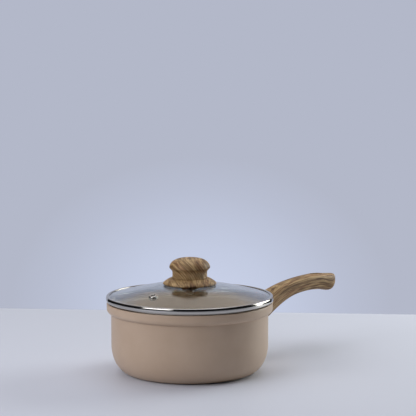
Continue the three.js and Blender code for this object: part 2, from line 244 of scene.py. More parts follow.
# %% [markdown]
# ## Ceramic non-stick coating
#
# Sprayed sol-gel ceramic on aluminium, inside and out. It is a satin beige with a broad soft highlight,
# a very fine orange peel from the spray gun, and a slightly uneven depth of colour. A clear coat could
# give the gloss, but this finish has one layer, so a single roughness with a little unevenness is truer.
# The orange peel, about 0.9 mm from hump to hump, is a bump, as it changes no outline.


# %% Ceramic coating
def ceramic_coating():
    material, tree, shader = new_finish("ceramic_coating_beige", IOR=1.5, Roughness=0.42)
    place_on = add(tree, "ShaderNodeTexCoord").outputs["Object"]
    mottle = add(tree, "ShaderNodeTexNoise", {"Vector": place_on, "Scale": 1 / (28 * MM), "Detail": 3})
    tone = add(
        tree,
        "ShaderNodeValToRGB",
        {"Fac": mottle.outputs["Fac"]},
        stops=[(0.3, "#C2A88F"), (0.7, "#C8AF97")],
    )
    tree.links.new(tone.outputs["Color"], shader.inputs["Base Color"])
    gloss = add(
        tree,
        "ShaderNodeMapRange",
        {"Value": mottle.outputs["Fac"], "To Min": 0.38, "To Max": 0.46},
    )
    tree.links.new(gloss.outputs["Result"], shader.inputs["Roughness"])
    peel = add(tree, "ShaderNodeTexNoise", {"Vector": place_on, "Scale": 1 / (0.9 * MM), "Detail": 2})
    bump = add(
        tree,
        "ShaderNodeBump",
        {"Height": peel.outputs["Fac"], "Strength": 0.06, "Distance": 0.05 * MM},
    )
    tree.links.new(bump.outputs["Normal"], shader.inputs["Normal"])
    return material


COATING = ceramic_coating()

# %% [markdown]
# ## Wood-look film
#
# The handle and the knob are moulded phenolic with a printed grain transferred onto them and a satin
# lacquer over it. The grain follows the part, not the world, so each part carries a `grain` attribute:
# its first number runs along the grain and the other two across it. A wave texture would draw the lines
# too evenly, so the broad bands, the streaks and the fine pores are noises stretched along that first
# number, and a slow warp keeps them from running dead straight.


# %% Wood-look film
def wood_look():
    material, tree, shader = new_finish("wood_look_film_on_phenolic", IOR=1.42, Roughness=0.56)
    grain = add(tree, "ShaderNodeAttribute", attribute_name="grain").outputs["Vector"]
    warp = add(tree, "ShaderNodeTexNoise", {"Vector": grain, "Scale": 1 / (38 * MM), "Detail": 1})
    shift = add(
        tree,
        "ShaderNodeVectorMath",
        {0: warp.outputs["Color"], "Scale": 5 * MM},
        operation="SCALE",
    )
    bent = add(tree, "ShaderNodeVectorMath", {0: grain, 1: shift.outputs["Vector"]}, operation="ADD")

    def stretched(width, stretch, detail):
        """A noise whose cells are `width` mm across the grain and `stretch` times as long along it."""
        squeezed = add(
            tree,
            "ShaderNodeMapping",
            {"Vector": bent.outputs["Vector"], "Scale": (1 / stretch, 1, 1)},
        )
        settings = {"Vector": squeezed.outputs["Vector"], "Scale": 1 / (width * MM), "Detail": detail}
        return add(tree, "ShaderNodeTexNoise", settings).outputs["Fac"]

    def darkened(base, mask, stops, amount):
        """Lays dark lines over the colour so far."""
        line = add(tree, "ShaderNodeValToRGB", {"Fac": mask}, stops=stops)
        inputs = {"Factor": amount, "A": base, "B": line.outputs["Color"]}
        mixed = add(tree, "ShaderNodeMix", inputs, data_type="RGBA", blend_type="MULTIPLY")
        return mixed.outputs["Result"]

    ground = add(
        tree,
        "ShaderNodeValToRGB",
        {"Fac": stretched(5, 12, 1)},
        stops=[(0.34, "#8C6C4A"), (0.45, "#B39465"), (0.55, "#C5A77A"), (0.66, "#B18C63")],
    ).outputs["Color"]
    lines = [(0.36, "#6B4C34"), (0.44, "#C4AD92"), (0.52, "#FFFFFF")]
    streaked = darkened(ground, stretched(1.35, 26, 1), lines, 0.6)
    fine = darkened(streaked, stretched(0.7, 36, 1), [(0.42, "#8C7358"), (0.52, "#FFFFFF")], 0.6)
    tree.links.new(fine, shader.inputs["Base Color"])
    bump = add(
        tree,
        "ShaderNodeBump",
        {"Height": stretched(0.5, 40, 2), "Strength": 0.1, "Distance": 0.05 * MM},
    )
    tree.links.new(bump.outputs["Normal"], shader.inputs["Normal"])
    return material


WOOD_LOOK = wood_look()

# %% [markdown]
# ## Metals
#
# One function gives all the metals, because they differ only in colour, in gloss and in how their
# surface was made. Turned and rolled metal has fine lines round the axis. Modelled grooves would cost far
# too many faces, so the lines are a noise that depends only on radius and height, drawn a little coarser
# than the real ones so that they show.


# %% Metals
def metal(name, tone, roughness, line_height, line_size):
    material, tree, shader = new_finish(name, Metallic=1.0, Base_Color=colour(tone))
    place_on = add(tree, "ShaderNodeTexCoord").outputs["Object"]
    split = add(tree, "ShaderNodeSeparateXYZ", {"Vector": place_on})
    flat = add(tree, "ShaderNodeCombineXYZ", {"X": split.outputs["X"], "Y": split.outputs["Y"]})
    radius = add(tree, "ShaderNodeVectorMath", {0: flat.outputs["Vector"]}, operation="LENGTH")
    rings = add(
        tree,
        "ShaderNodeCombineXYZ",
        {"X": radius.outputs["Value"], "Z": split.outputs["Z"]},
    )
    lines = add(
        tree,
        "ShaderNodeTexNoise",
        {"Vector": rings.outputs["Vector"], "Scale": 1 / (line_size * MM), "Detail": 3},
    )
    gloss = add(
        tree,
        "ShaderNodeMapRange",
        {"Value": lines.outputs["Fac"], "To Min": roughness * 0.8, "To Max": roughness * 1.2},
    )
    tree.links.new(gloss.outputs["Result"], shader.inputs["Roughness"])
    bump = add(
        tree,
        "ShaderNodeBump",
        {"Height": lines.outputs["Fac"], "Strength": line_height, "Distance": 0.05 * MM},
    )
    tree.links.new(bump.outputs["Normal"], shader.inputs["Normal"])
    return material


POLISHED_STEEL = metal("polished_stainless_steel", "#BDB9B3", 0.1, 0.02, 0.5)
DISC_STEEL = metal("turned_ferritic_steel", "#BDBEC1", 0.3, 0.3, 0.35)
SCREW_STEEL = metal("zinc_plated_steel", "#C4C6CA", 0.28, 0.05, 0.3)
SPRING_STEEL = metal("hardened_spring_steel", "#8F9094", 0.35, 0.05, 0.3)
BRASS = metal("turned_brass", "#C9A95F", 0.25, 0.1, 0.3)
CAST_ALUMINIUM = metal("die_cast_aluminium", "#B5B7BA", 0.5, 0.4, 1.2)

# %% [markdown]
# ## Glass and silicone
#
# The lid is toughened soda-lime glass, pressed over a mould, so it has a faint slow waviness. A thin
# transparent sheet would be quicker to render, but a closed shell with its real thickness mirrors twice
# and bends light as the real one does. The silicone parts are soft, satin and a little translucent.


# %% Glass and silicone
def toughened_glass():
    material, tree, shader = new_finish(
        "toughened_soda_lime_glass",
        Base_Color=colour("#F4FAFA"),
        Roughness=0.0,
        IOR=1.5,
        Transmission_Weight=1.0,
    )
    place_on = add(tree, "ShaderNodeTexCoord").outputs["Object"]
    wave = add(tree, "ShaderNodeTexNoise", {"Vector": place_on, "Scale": 1 / (22 * MM), "Detail": 1})
    bump = add(
        tree,
        "ShaderNodeBump",
        {"Height": wave.outputs["Fac"], "Strength": 0.1, "Distance": 0.05 * MM},
    )
    tree.links.new(bump.outputs["Normal"], shader.inputs["Normal"])
    return material


def silicone(name, tone, weight):
    material, tree, shader = new_finish(
        name,
        Base_Color=colour(tone),
        Roughness=0.5,
        IOR=1.41,
        Subsurface_Weight=weight,
        Subsurface_Scale=1.5 * MM,
    )
    place_on = add(tree, "ShaderNodeTexCoord").outputs["Object"]
    skin = add(tree, "ShaderNodeTexNoise", {"Vector": place_on, "Scale": 1 / (0.7 * MM), "Detail": 2})
    gloss = add(tree, "ShaderNodeMapRange", {"Value": skin.outputs["Fac"], "To Min": 0.42, "To Max": 0.58})
    tree.links.new(gloss.outputs["Result"], shader.inputs["Roughness"])
    return material


GLASS = toughened_glass()
CLEAR_SILICONE = silicone("clear_silicone", "#C4C6C6", 0.4)
GREY_SILICONE = silicone("grey_silicone", "#6B6B6B", 0.1)

# %% [markdown]
# ## The bowl
#
# A disc of aluminium is spun over a former: flat base, rounded corner, straight wall, and a band at the
# top that steps out so that the lid's rim has a ledge. A single skin with a Solidify modifier would give
# the wall, but not the pocket in the base. So one outline runs up the outside and down the inside, which
# also rounds the lip.

# %% The bowl
BOWL_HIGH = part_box("pan_body")[1]
DISC_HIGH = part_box("induction_disc")[1]
DISC_RADIUS = DISC_HIGH.x / MM
BAND_RADIUS = BOWL_HIGH.x / MM
RIM_HEIGHT = BOWL_HIGH.z / MM
BODY_RADIUS = BAND_RADIUS - 4.9
STEP_HEIGHT = RIM_HEIGHT - 12.3
STEP_RISE = 5.7
BRIM_DROP = 0.45
WALL = 2.5
FLOOR = 4
BASE_RADIUS = 66.5
CORNER_HEIGHT = 31
LIP = 1.3
POCKET_RADIUS = DISC_RADIUS + 0.3
POCKET_DEPTH = 1.1
LARGE_STEPS = 160


def bowl():
    band_inside = BAND_RADIUS - WALL
    wall_inside = BODY_RADIUS - WALL
    turn_out = STEP_HEIGHT + STEP_RISE
    brim = RIM_HEIGHT - BRIM_DROP
    outside = [
        (0, POCKET_DEPTH),
        *straight((POCKET_RADIUS - 0.2, POCKET_DEPTH), (POCKET_RADIUS, POCKET_DEPTH), 1),
        *bend((POCKET_RADIUS, 0.2), (POCKET_RADIUS, 0), (POCKET_RADIUS + 0.3, 0), 3),
        *straight((POCKET_RADIUS + 1, 0), (BASE_RADIUS - 1, 0), 3),
        *corner(BASE_RADIUS, 0, BODY_RADIUS - BASE_RADIUS, CORNER_HEIGHT, 26),
        *straight((BODY_RADIUS, CORNER_HEIGHT + 2), (BODY_RADIUS, STEP_HEIGHT - 1), 8),
        *bend((BODY_RADIUS, STEP_HEIGHT), (BAND_RADIUS, STEP_HEIGHT + 1), (BAND_RADIUS, turn_out), 14),
        *straight((BAND_RADIUS, turn_out + 1), (BAND_RADIUS, brim - LIP - 0.5), 3),
        *bend((BAND_RADIUS, brim - LIP), (BAND_RADIUS, brim), (BAND_RADIUS - LIP, brim), 5),
    ]
    inside = [
        *bend((band_inside + LIP, brim), (band_inside, brim), (band_inside, brim - LIP), 5),
        *bend(
            (band_inside, turn_out + WALL),
            (band_inside, STEP_HEIGHT + WALL + 1),
            (wall_inside, STEP_HEIGHT + WALL),
            12,
        ),
        *straight((wall_inside, STEP_HEIGHT), (wall_inside, CORNER_HEIGHT + 4), 8),
        *reversed(corner(BASE_RADIUS - 1, FLOOR, wall_inside - BASE_RADIUS + 1, CORNER_HEIGHT - 2, 22)),
        *straight((BASE_RADIUS - 3, FLOOR), (1, FLOOR), 5),
        (0, FLOOR),
    ]
    return turned([*outside, *inside], LARGE_STEPS)


hand_over(bowl(), "coated_bowl", "pan_body", "pan", COATING)

# %% [markdown]
# ## The base disc
#
# A disc of magnetic steel is pressed into the base so that the pan works on an induction hob. Its face is
# turned, with shallow rings that let the base flex as it warms. The rings are wide enough to be seen from
# below, so they are cut in the outline and not left to a bump.

# %% The base disc
DISC_THICKNESS = DISC_HIGH.z / MM
RING_DEPTH = 0.25
RING_STARTS = (14, 25, 36, 47)


def base_disc():
    outline = [(0, RING_DEPTH), (5, RING_DEPTH), (5.4, 0)]
    for start in RING_STARTS:
        outline += [(start, 0), (start + 0.4, RING_DEPTH), (start + 2.2, RING_DEPTH), (start + 2.6, 0)]
    outline += [
        *bend((DISC_RADIUS - 0.3, 0), (DISC_RADIUS, 0), (DISC_RADIUS, 0.3), 3),
        (DISC_RADIUS, DISC_THICKNESS),
        (0, DISC_THICKNESS),
    ]
    return turned(outline, LARGE_STEPS)


hand_over(base_disc(), "turned_base_disc", "induction_disc", "pan", DISC_STEEL)

# %% [markdown]
# ## The handle
#
# A phenolic moulding. A curve with a bevel would keep one section all the way, and this handle is deep at
# the root, slim in the middle and swollen at the tip. So it starts as one upright face inside the wall.
# The face's corners are bevelled into a rounded square, and it is extruded from station to station. Each
# station gives the distance out, the heights of the top and the underside, and half the width, in
# millimetres. Subdivision then draws the flowing surface through them.

# %% Handle stations
STATIONS = [
    (82, 58.8, 31.6, 14.8),
    (94, 64.3, 34.7, 14.2),
    (106, 70.4, 40.7, 13.2),
    (119, 75.5, 48.3, 12.2),
    (132, 80.0, 56.0, 11.4),
    (146, 83.5, 62.8, 10.8),
    (160, 85.9, 67.3, 10.5),
    (174, 87.6, 69.5, 10.5),
    (186, 88.5, 70.3, 10.7),
    (195, 88.8, 70.4, 10.9),
    (199.5, 88.9, 70.3, 11.0),
    (205, 88.7, 70.0, 11.2),
    (210.5, 88.3, 69.2, 11.3),
    (215, 87.9, 68.0, 11.4),
    (221, 87.3, 66.5, 11.3),
    (226.2, 86.8, 67.5, 10.6),
    (230.0, 86.5, 71.0, 8.9),
    (233.0, 86.3, 74.8, 6.2),
    (234.3, 85.5, 78.6, 3.4),
]
CORNER_SHARE = 0.62
SWELL = 1.008


def bevel_corners(cage):
    """Rounds the corners. On a unit square the bevel takes the same share of both sides."""
    activate(cage)
    bpy.ops.object.mode_set(mode="EDIT")
    bpy.ops.mesh.select_all(action="SELECT")
    bpy.ops.mesh.bevel(offset=CORNER_SHARE, segments=2, affect="VERTICES", clamp_overlap=False)
    bpy.ops.object.mode_set(mode="OBJECT")


deselect()
x, top, bottom, half = STATIONS[0]
bpy.ops.mesh.primitive_plane_add(size=2, rotation=(0, math.pi / 2, 0))
handle = bpy.context.object
bpy.ops.object.transform_apply(location=True, rotation=True, scale=True)
bevel_corners(handle)
handle.scale = (1, half * SWELL * MM, (top - bottom) / 2 * SWELL * MM)
handle.location = (x * MM, 0, (top + bottom) / 2 * MM)
bpy.ops.object.transform_apply(location=True, rotation=True, scale=True)
bpy.ops.object.mode_set(mode="EDIT")
bpy.ops.mesh.select_mode(type="FACE")
bpy.ops.mesh.select_all(action="SELECT")
for (x0, top0, low0, half0), (x1, top1, low1, half1) in zip(STATIONS, STATIONS[1:]):
    centre = Vector((x1, 0, (top1 + low1) / 2)) * MM
    step = centre - Vector((x0, 0, (top0 + low0) / 2)) * MM
    bpy.ops.mesh.extrude_region_move(TRANSFORM_OT_translate={"value": step})
    growth = (1, half1 / half0, (top1 - low1) / (top0 - low0))
    bpy.ops.transform.resize(value=growth, center_override=centre)
bpy.ops.object.mode_set(mode="OBJECT")
print("handle cage:", len(handle.data.polygons), "faces")

# %% [markdown]
# The hanging slot could be cut with a boolean, but that leaves hard edges. It is made in the coarse shape
# by an inset on the top and the underside and a bridge between the two, so that subdivision rounds its
# edges as a moulding's are.


# %% Hanging slot
def select_faces(piece, wanted):
    """Selects the faces for which wanted(centre, normal) is true. The piece is in edit mode."""
    shell = bmesh.from_edit_mesh(piece.data)
    shell.normal_update()
    for face in shell.faces:
        face.select_set(wanted(face.calc_center_median(), face.normal))
    shell.select_flush_mode()
    bmesh.update_edit_mesh(piece.data)
    return sum(face.select for face in shell.faces)


SLOT_FROM, SLOT_TO = 195, 215
SLOT_BORDER = 0.5


def on_slot(centre, normal):
    return SLOT_FROM * MM < centre.x < SLOT_TO * MM and abs(centre.y) < MM and abs(normal.z) > 0.9


def apply_modifier(piece, kind, **settings):
    activate(piece)
    modifier = piece.modifiers.new(kind.lower(), kind)
    for name, value in settings.items():
        setattr(modifier, name, value)
    bpy.ops.object.modifier_apply(modifier=modifier.name)


bpy.ops.object.mode_set(mode="EDIT")
bpy.ops.mesh.select_all(action="SELECT")
bpy.ops.mesh.normals_make_consistent(inside=False)
print("faces over and under the slot:", select_faces(handle, on_slot))
bpy.ops.mesh.inset(thickness=SLOT_BORDER * MM, use_even_offset=True)
bpy.ops.mesh.bridge_edge_loops(number_cuts=7)
bpy.ops.mesh.select_all(action="SELECT")
bpy.ops.mesh.normals_make_consistent(inside=False)
bpy.ops.object.mode_set(mode="OBJECT")
apply_modifier(handle, "SUBSURF", levels=3, render_levels=3)
print("handle after subdivision:", len(handle.data.polygons), "faces")

# %% [markdown]
# The root is hollowed from below the surface: the wall's own curve, the socket for the bracket's tongue,
# the recess for its pad, and a stepped hole from underneath for the screw. A mould forms these with
# cores, and a boolean cut with a tool of each core's shape does the same. The bracket leans back with the
# handle, so its tools are made upright and then leant with it.


# %% Tools for the handle's root
def place(piece, matrix):
    """Moves a piece made round the origin to where it belongs. Its object stays at the origin."""
    activate(piece)
    piece.matrix_world = matrix
    bpy.ops.object.transform_apply(location=True, rotation=True, scale=True)
    return piece


def cut_away(piece, tool):
    """Cuts the tool's shape out of the piece and throws the tool away."""
    apply_modifier(piece, "BOOLEAN", object=tool, operation="DIFFERENCE", solver="EXACT")
    bpy.data.objects.remove(tool)


def block(size, centre):
    """A plain box, used only as a cutting tool. Sizes in millimetres."""
    deselect()
    bpy.ops.mesh.primitive_cube_add(size=1, location=Vector(centre) * MM)
    box = bpy.context.object
    box.scale = Vector(size) * MM
    bpy.ops.object.transform_apply(location=True, rotation=True, scale=True)
    return box


def post(radius, low, high, steps=48):
    """An upright round bar between two heights, used only as a cutting tool."""
    return turned([(0, low), (radius, low), (radius, high), (0, high)], steps)


def spun_section(inner, outer, low, high, start, sweep, steps):
    """An upright rectangle spun clockwise round the Z axis from the angle start, in degrees."""
    deselect()
    bpy.ops.mesh.primitive_plane_add(size=1, rotation=(math.pi / 2, 0, 0))
    section = bpy.context.object
    section.scale = ((outer - inner) * MM, (high - low) * MM, 1)
    section.location = Vector(((inner + outer) / 2, 0, (low + high) / 2)) * MM
    bpy.ops.object.transform_apply(location=True, rotation=True, scale=True)
    bpy.ops.object.mode_set(mode="EDIT")
    bpy.ops.mesh.select_all(action="SELECT")
    bpy.ops.mesh.spin(steps=steps, angle=math.radians(sweep), center=(0, 0, 0), axis=(0, 0, 1))
    weld()
    bpy.ops.object.mode_set(mode="OBJECT")
    return place(section, Matrix.Rotation(math.radians(start), 4, "Z"))


# %% Handle root
BRACKET_LEAN = math.radians(-26)
BRACKET = Matrix.Translation(Vector((88.8, 0, 46.5)) * MM) @ Matrix.Rotation(BRACKET_LEAN, 4, "Y")
TONGUE_SOCKET = (31.8, 14.8, 11.8)
TONGUE_MIDDLE = 15.5
PAD_HALF_ANGLE = 7.4
PAD_LOW, PAD_HIGH = 35.5, 57.5
SCREW_REACH = 20
SCREW_SEAT = -9.2
SCREW_PLACE = BRACKET @ Matrix.Translation(Vector((SCREW_REACH, 0, 0)) * MM)

pad_recess = spun_section(
    BODY_RADIUS - 2, BODY_RADIUS + 2.95, PAD_LOW, PAD_HIGH, PAD_HALF_ANGLE, 2 * PAD_HALF_ANGLE, 16
)
cut_away(handle, post(BODY_RADIUS + 0.5, 0, 120, LARGE_STEPS))
cut_away(handle, pad_recess)
cut_away(handle, place(block(TONGUE_SOCKET, (TONGUE_MIDDLE, 0, 0)), BRACKET))
cut_away(handle, place(post(2.4, SCREW_SEAT - 1, 0), SCREW_PLACE))
cut_away(handle, place(post(4.8, -40, SCREW_SEAT), SCREW_PLACE))
print("handle after its sockets:", len(handle.data.polygons), "faces")

# %% [markdown]
# The printed film bends with the handle, so its grain can't come from straight coordinates. Every vertex
# stores how far along the middle line it lies and how far off it. Unwrapping would do as well, but a
# stored attribute needs no seams.


# %% Grain of the handle
def carry_grain(piece, along_and_across):
    """Stores on every vertex how far along the grain it lies and how far across it, in metres."""
    grain = piece.data.attributes.new("grain", "FLOAT_VECTOR", "POINT")
    for vertex, value in zip(piece.data.vertices, grain.data):
        value.vector = along_and_across(vertex.co)


SPINE = [Vector((out, 0, (over + under) / 2)) * MM for out, over, under, width in STATIONS]
SIDE_SQUEEZE = 0.35
DEPTH_SQUEEZE = 1.3


def handle_grain(point):
    """The grain runs along the line through the middle of the stations."""
    run = 0.0
    for a, b in zip(SPINE, SPINE[1:]):
        along = (b - a).normalized()
        reach = (point - a).dot(along)
        if reach <= (b - a).length or b is SPINE[-1]:
            up = Vector((-along.z, 0, along.x))
            return (run + reach, point.y * SIDE_SQUEEZE, (point - a).dot(up) * DEPTH_SQUEEZE)
        run += (b - a).length


carry_grain(handle, handle_grain)
hand_over(handle, "handle_moulding", "handle_grip", "pan", WOOD_LOOK)

# %% [markdown]
# ## Screws and washers
#
# Two pan-head screws hold the handle and the knob. Each is turned as one outline, and a cross recess is
# cut into its head, which points down on both. Threads would never be seen, so the shanks are plain. The
# split washer is coiled from flat wire, so it is a small section spun most of the way round.


# %% Screws
def cross_recess(screw, face, reach, depth):
    """Cuts a cross recess into a screw's head from below."""
    for size in ((2 * reach, reach * 0.36, 2 * depth), (reach * 0.36, 2 * reach, 2 * depth)):
        cut_away(screw, block(size, (0, 0, face)))


HEAD_SHARE = 0.625
RECESS_DEPTH = 1.2


def pan_head_screw(head, head_radius, shaft, tip):
    """A screw whose head hangs below the height `head`. Sizes in millimetres."""
    under = head - HEAD_SHARE * head_radius
    outline = [
        *bend((0, under), (head_radius * 0.95, under), (head_radius, head - 0.2), 10),
        (head_radius, head),
        (shaft, head),
        *straight((shaft, head + 0.5), (shaft, tip - 0.8), 3),
        (shaft - 0.8, tip),
        (0, tip),
    ]
    screw = turned(outline, 48)
    cross_recess(screw, under, head_radius * 0.55, RECESS_DEPTH)
    return screw


HANDLE_SCREW_HEAD = SCREW_SEAT - 1.4
handle_screw = place(pan_head_screw(HANDLE_SCREW_HEAD, 3.6, 2, 5), SCREW_PLACE)
hand_over(handle_screw, "handle_fixing_screw", "handle_screw", "pan", SCREW_STEEL)

KNOB_SCREW_HEAD = 89.2
knob_screw = pan_head_screw(KNOB_SCREW_HEAD, 4.8, 2.4, 114.2)
hand_over(knob_screw, "knob_fixing_screw", "knob_screw", "lid", SCREW_STEEL)

WASHER_SWEEP = 346
lock_washer = spun_section(2.8, 4.6, 89.5, 90.6, -WASHER_SWEEP / 2, WASHER_SWEEP, 40)
hand_over(lock_washer, "knob_spring_washer", "lock_washer", "lid", SPRING_STEEL)

# %% [markdown]
# ## The lid's glass
#
# A pressed dome with its real thickness, a ground edge and two holes. A cap cut from a sphere would be
# simpler, but it mirrors the room evenly. Here the crown under the knob is level, a rounded knee turns it
# down and the flank runs straight to the steel band, and the knee gathers what the glass mirrors into a
# few thin lines in front of the knob.

# %% The lid's glass
DOME_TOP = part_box("lid_glass")[1].z / MM
GLASS_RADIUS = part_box("lid_glass")[1].x / MM
GLASS_THICKNESS = 3.5
LIP_RADIUS = 89
LIP_HEIGHT = 85.1
CROWN_RADIUS = 18
FLANK_RADIUS = 58
FLANK_SLOPE = math.radians(13.6)
KNEE_RADIUS = (FLANK_RADIUS - CROWN_RADIUS) / math.sin(FLANK_SLOPE)
KNOB_HOLE = 4.6


def dome_height(radius, depth=0.0):
    """Height of the glass: a level crown, a rounded knee and a straight flank."""
    flank = max(radius - FLANK_RADIUS, 0)
    knee = min(max(radius - CROWN_RADIUS, 0), FLANK_RADIUS - CROWN_RADIUS)
    drop = KNEE_RADIUS - math.sqrt(KNEE_RADIUS**2 - knee**2)
    return DOME_TOP - depth - drop - flank * math.tan(FLANK_SLOPE)


def dome(start, end, depth, steps):
    """Points of the glass's surface between two radii."""
    radii = [start + (end - start) * i / steps for i in range(steps + 1)]
    return [(r, dome_height(r, depth)) for r in radii]


VENT_REACH = 62
VENT_TURN = math.radians(-171.5)
VENT_SPOT = Vector((
    VENT_REACH * math.cos(VENT_TURN),
    VENT_REACH * math.sin(VENT_TURN),
    dome_height(VENT_REACH),
))
VENT_LEAN = Matrix.Rotation(VENT_TURN, 4, "Z") @ Matrix.Rotation(FLANK_SLOPE, 4, "Y")
VENT_PLACE = Matrix.Translation(VENT_SPOT * MM) @ VENT_LEAN
VENT_HOLE = 3.7
DOME_STEPS = 60


def lid_glass():
    ground = GLASS_RADIUS - 0.9
    edge_under = dome_height(GLASS_RADIUS, GLASS_THICKNESS)
    edge_over = dome_height(GLASS_RADIUS)
    outline = [
        *dome(KNOB_HOLE, ground, GLASS_THICKNESS, DOME_STEPS),
        *bend(
            (GLASS_RADIUS - 0.3, edge_under + 0.4),
            (GLASS_RADIUS, edge_under + 0.5),
            (GLASS_RADIUS, edge_under + 1),
            3,
        ),
        *bend(
            (GLASS_RADIUS, edge_over - 1),
            (GLASS_RADIUS, edge_over - 0.3),
            (ground + 0.3, dome_height(ground + 0.3)),
            3,
        ),
        *dome(ground, KNOB_HOLE, 0, DOME_STEPS),
    ]
    glass = turned(outline, LARGE_STEPS)
    cut_away(glass, place(post(VENT_HOLE, -12, 12), VENT_PLACE))
    return glass


hand_over(lid_glass(), "lid_dome", "lid_glass", "lid", GLASS, smooth=25)

# %% [markdown]
# ## The steel band and its seal
#
# A stainless strip is rolled round the glass. Its rounded bead grips the edge from above and below, and a
# short skirt hangs inside the pan to keep the lid in place. Between glass and steel lies a silicone bead.
# A ring of round wire would look alike from far off, but polished steel mirrors every change of its
# section, so the sheet's true outline is turned. The bead stands a little above the pan's brim.

# %% The steel band and its seal
RIM_LOW, RIM_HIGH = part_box("lid_rim")
SKIRT_INSIDE = 88.3
SKIRT_OUTSIDE = SKIRT_INSIDE + 0.6
SHEET = 0.5
SHELF = RIM_HEIGHT + 0.95
CAVITY_RADIUS = 92.35
CAVITY_TOP = 85.0


def steel_band():
    widest = RIM_HIGH.x / MM
    top = RIM_HIGH.z / MM
    foot = RIM_LOW.z / MM
    ledge = SHELF + SHEET
    outline = [
        *bend((SKIRT_INSIDE, foot + 0.3), (SKIRT_INSIDE + 0.1, foot), (SKIRT_INSIDE + 0.3, foot), 3),
        *bend((SKIRT_INSIDE + 0.4, foot), (SKIRT_OUTSIDE, foot), (SKIRT_OUTSIDE, foot + 0.5), 3),
        (SKIRT_OUTSIDE, SHELF - 0.8),
        *bend((SKIRT_OUTSIDE, SHELF - 0.4), (SKIRT_OUTSIDE, SHELF), (SKIRT_OUTSIDE + 0.4, SHELF), 4),
        *bend((widest - 1.5, SHELF), (widest - 0.1, SHELF + 0.1), (widest, SHELF + 1.9), 10),
        *bend((widest, SHELF + 2.6), (widest, top), (widest - 1.8, top), 12),
        *bend((widest - 2, top), (LIP_RADIUS + 0.3, top + 0.05), (LIP_RADIUS + 0.2, LIP_HEIGHT - 0.05), 9),
        *bend((LIP_RADIUS + 0.3, LIP_HEIGHT - 0.15), (LIP_RADIUS + 0.4, 84.9), (LIP_RADIUS + 0.8, 84.95), 3),
        *bend((LIP_RADIUS + 1.3, CAVITY_TOP), (CAVITY_RADIUS, CAVITY_TOP), (CAVITY_RADIUS, 82), 8),
        *bend((CAVITY_RADIUS, 81.4), (92.2, ledge), (91.2, ledge), 5),
        (SKIRT_OUTSIDE, ledge),
        *bend((SKIRT_INSIDE + 0.3, ledge), (SKIRT_INSIDE, ledge), (SKIRT_INSIDE, SHELF), 3),
    ]
    return turned(outline, LARGE_STEPS)


def edge_seal():
    low, high, outside, inside = 80.3, 83.6, 92, 91.3
    outline = [
        (90.2, low),
        *bend((91, low), (91.9, low + 0.2), (outside, 81.8), 5),
        *bend((outside, 82.6), (outside, high), (91.5, high), 4),
        *bend((91.4, high), (inside, high), (inside, high - 0.2), 2),
        (inside, 80.85),
        (90.2, 80.7),
    ]
    return turned(outline, LARGE_STEPS)


hand_over(steel_band(), "lid_steel_band", "lid_rim", "lid", POLISHED_STEEL)
hand_over(edge_seal(), "lid_edge_seal", "rim_seal", "lid", CLEAR_SILICONE)


# %% [markdown]
# ## The steam vent
#
# A small stainless eyelet lets the steam out. It is pressed from tube, with a flange on top and a lip
# rolled over underneath against a flat ring. A tube with a Bevel modifier has no rolled lip, so both are
# turned from outlines, made upright at the origin and then leant with the slope of the glass.


# %% The steam vent
def vent_eyelet():
    bore, barrel, flange = 2.3, 3.3, 5
    outline = [
        *bend((bore, -5.2), (bore + 0.1, -5.9), (barrel, -5.9), 4),
        *bend((barrel + 0.3, -5.9), (barrel + 1.2, -5.8), (barrel + 0.9, -5.3), 4),
        *bend((barrel + 0.5, -5.1), (barrel, -5), (barrel, -4.6), 3),
        (barrel, 0.2),
        (barrel + 0.2, 0.3),
        (flange - 0.3, 0.3),
        *bend((flange - 0.1, 0.3), (flange + 0.1, 0.7), (flange - 0.6, 1.25), 5),
        *bend((flange - 1, 1.5), (barrel - 0.2, 1.75), (bore + 0.3, 1.4), 5),
        *bend((bore + 0.1, 1.2), (bore, 1), (bore, 0.7), 3),
    ]
    return turned(outline, 64)


def flat_ring(inner, outer, low, high, edge, steps):
    """A flat ring with its four edges slightly rounded."""
    outline = [
        (inner + edge, low),
        *bend((outer - edge, low), (outer, low), (outer, low + edge), 3),
        *bend((outer, high - edge), (outer, high), (outer - edge, high), 3),
        *bend((inner + edge, high), (inner, high), (inner, high - edge), 3),
        (inner, low + edge),
    ]
    return turned(outline, steps)


eyelet = place(vent_eyelet(), VENT_PLACE)
hand_over(eyelet, "steam_vent_eyelet", "vent_eyelet", "lid", POLISHED_STEEL)
ring = place(flat_ring(3.6, 5.5, -4.5, -3.8, 0.15, 48), VENT_PLACE)
hand_over(ring, "steam_vent_ring", "vent_ring", "lid", POLISHED_STEEL)

# %% [markdown]
# ## The knob
#
# Two mouldings with the same wood-look film: a flared skirt that covers the fixings, and a grip with a
# narrow neck and a mushroom cap. Stacked cylinders with bevels could stand in for them, but the cap's
# brow and the skirt's flare are free curves, so `through` draws a smooth line through a few points.


# %% The knob
def through(points, steps):
    """A smooth curve through all the points, with some steps between each two of them."""
    ends = [points[0], *points, points[-1]]
    curve = []
    for a, b, c, d in zip(ends, ends[1:], ends[2:], ends[3:]):
        for i in range(steps):
            t = i / steps
            weights = (
                -0.5 * t + t**2 - 0.5 * t**3,
                1 - 2.5 * t**2 + 1.5 * t**3,
                0.5 * t + 2 * t**2 - 1.5 * t**3,
                -0.5 * t**2 + 0.5 * t**3,
            )
            curve.append(tuple(sum(w * p[k] for w, p in zip(weights, (a, b, c, d))) for k in (0, 1)))
    return [*curve, points[-1]]


KNOB_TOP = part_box("knob_grip")[1].z / MM
KNOB_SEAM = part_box("knob_skirt")[1].z / MM
INSERT_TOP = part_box("knob_insert")[1].z / MM
SOCKET = 4.8
KNOB_STEPS = 96


